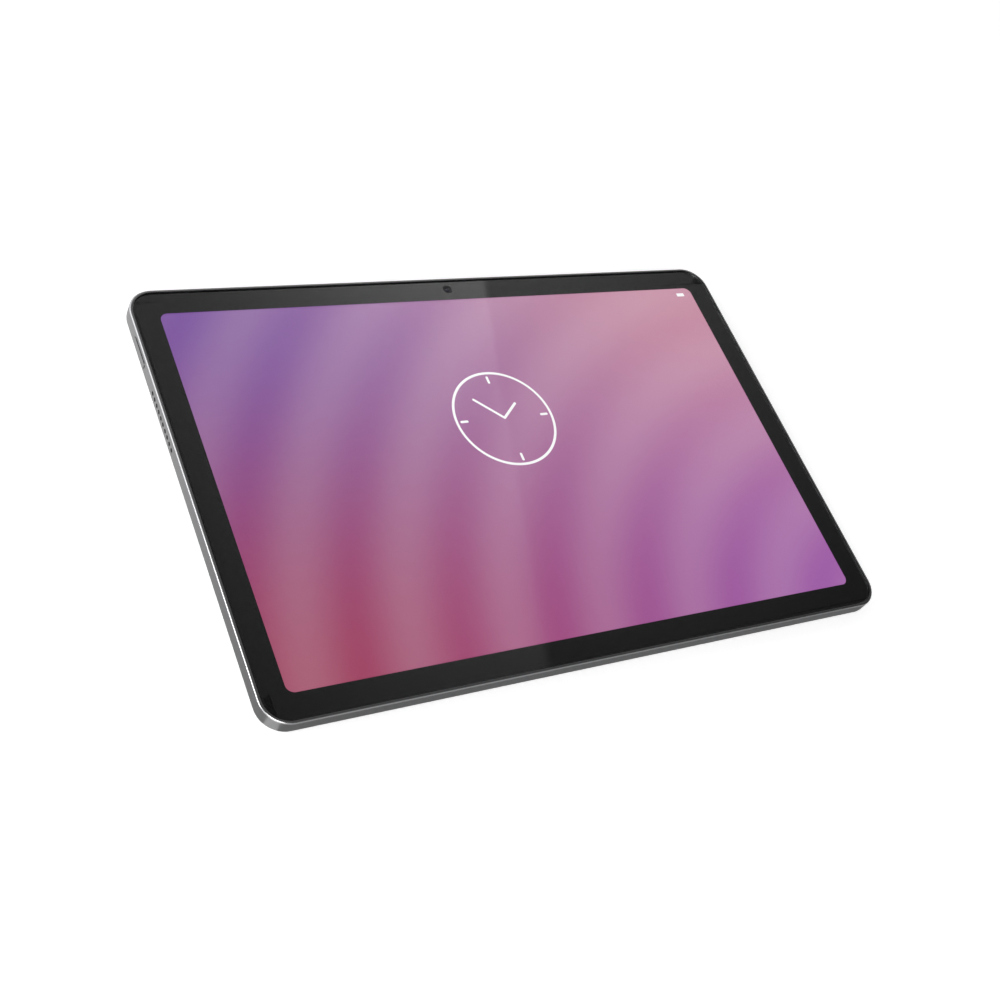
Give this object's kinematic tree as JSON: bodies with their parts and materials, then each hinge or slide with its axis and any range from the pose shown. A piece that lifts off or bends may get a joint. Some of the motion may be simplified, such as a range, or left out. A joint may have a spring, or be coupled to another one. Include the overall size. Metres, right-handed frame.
{
  "type": "tablet computer",
  "caption": "Thin tablet computer with a wide glass touch screen, a rounded metal casing, edge keys, side speaker holes, a charging socket, a headphone bore and a card tray.",
  "frame": {"origin": "centre of the back face, on the surface the tablet lies on", "axes": "+X along the long side, to the right when the screen is seen with its camera edge on top; +Y towards the camera edge; +Z out of the screen"},
  "size_m": [0.236, 0.1546, 0.0075],
  "materials": {
    "shell": "fine bead-blasted, anodised grey",
    "keys": "anodised grey, brushed along the key",
    "window": "matte, painted to match the casing",
    "inner_metal": "bare die casting",
    "sheet_steel": "bright rolled sheet",
    "screws": "zinc plated",
    "contacts": "gold plated",
    "cover_glass": "polished, very clear",
    "border": "black print behind glass",
    "touch": "clear film",
    "screen": "lit picture of coloured waves",
    "tape": "black foam tape",
    "white_film": "white film",
    "light_guide": "clear acrylic",
    "led_strip": "phosphor lamps on white film",
    "flex": "amber polyimide",
    "camera_black": "fine matte black",
    "lens": "coated lens",
    "ring": "turned and polished",
    "battery": "dull pouch foil",
    "white_tape": "stretch tape",
    "board": "green solder mask",
    "chips": "moulded black",
    "pad": "grey graphite pad",
    "connectors": "ivory nylon",
    "red_wire": "insulated wire",
    "black_plastic": "moulded black",
    "black_rubber": "soft black",
    "mesh": "woven dust mesh"
  },
  "bodies": {
    "tablet": {"rear_cover": "shell", "antenna_window": "window", "mid_frame": "inner_metal", "frame_screws": "screws", "cover_glass": "cover_glass", "border_print": "border", "display_adhesive": "tape", "touch_sensor": "touch", "lcd_cell": "screen", "diffuser_films": "white_film", "light_guide": "light_guide", "led_strip": "led_strip", "reflector_sheet": "white_film", "backlight_tray": "sheet_steel", "display_flex": "flex", "touch_flex": "flex", "front_camera": "camera_black", "front_camera_lens": "lens", "battery_cells": "battery", "battery_adhesive": "white_tape", "battery_board": "board", "battery_cable": "red_wire", "main_board": "board", "board_chips": "chips", "processor_shield": "sheet_steel", "power_shield": "sheet_steel", "radio_shield": "sheet_steel", "graphite_pad": "pad", "board_connectors": "connectors", "board_screws": "screws", "sub_board": "board", "link_flex": "flex", "usb_shell": "sheet_steel", "usb_tongue": "black_plastic", "usb_contacts": "contacts", "usb_seal": "black_rubber", "headphone_jack": "black_plastic", "jack_contacts": "contacts", "left_speaker": "black_plastic", "right_speaker": "black_plastic", "speaker_meshes": "mesh", "microphone": "contacts", "microphone_seal": "black_rubber", "power_switch": "contacts", "power_bracket": "sheet_steel", "volume_switch": "contacts", "volume_bracket": "sheet_steel", "key_flex": "flex", "card_socket": "sheet_steel", "rear_camera": "camera_black", "rear_camera_ring": "ring", "rear_camera_glass": "lens", "wifi_antenna": "black_plastic", "antenna_cable": "black_rubber"},
    "power_key": {"power_button": "keys"},
    "volume_key": {"volume_rocker": "keys"},
    "card_drawer": {"card_tray": "keys"},
    "ejector_rod": {"eject_rod": "sheet_steel"},
    "ejector_lever": {"eject_lever": "sheet_steel"}
  },
  "joints": [
    {"name": "power_button_press", "type": "slide", "parent": "tablet", "child": "power_key", "axis": [1, 0, 0], "range_m": [0, 0.00035], "stiffness_N_per_m": 800},
    {"name": "volume_rocker_tilt", "type": "hinge", "parent": "tablet", "child": "volume_key", "pos_m": [-0.088, 0.0759, 0.0043], "axis": [0, 0, 1], "range_deg": [-1.5, 1.5], "stiffness_Nm_per_rad": 0.8},
    {"name": "card_tray_slide", "type": "slide", "parent": "tablet", "child": "card_drawer", "axis": [0, 1, 0], "range_m": [0, 0.022]},
    {"name": "eject_rod_slide", "type": "slide", "parent": "tablet", "child": "ejector_rod", "axis": [0, 1, 0], "range_m": [-0.00101, 0]},
    {"name": "eject_lever_turn", "type": "hinge", "parent": "tablet", "child": "ejector_lever", "pos_m": [0.0639, 0.0575, 0.0039], "axis": [0, 0, 1], "range_deg": [-13, 0]}
  ],
  "couplings": [
    {"joint": "eject_rod_slide", "follows": "card_tray_slide", "ratio": -0.045455},
    {"joint": "eject_lever_turn", "follows": "card_tray_slide", "rad_per_m": -10.227}
  ]
}
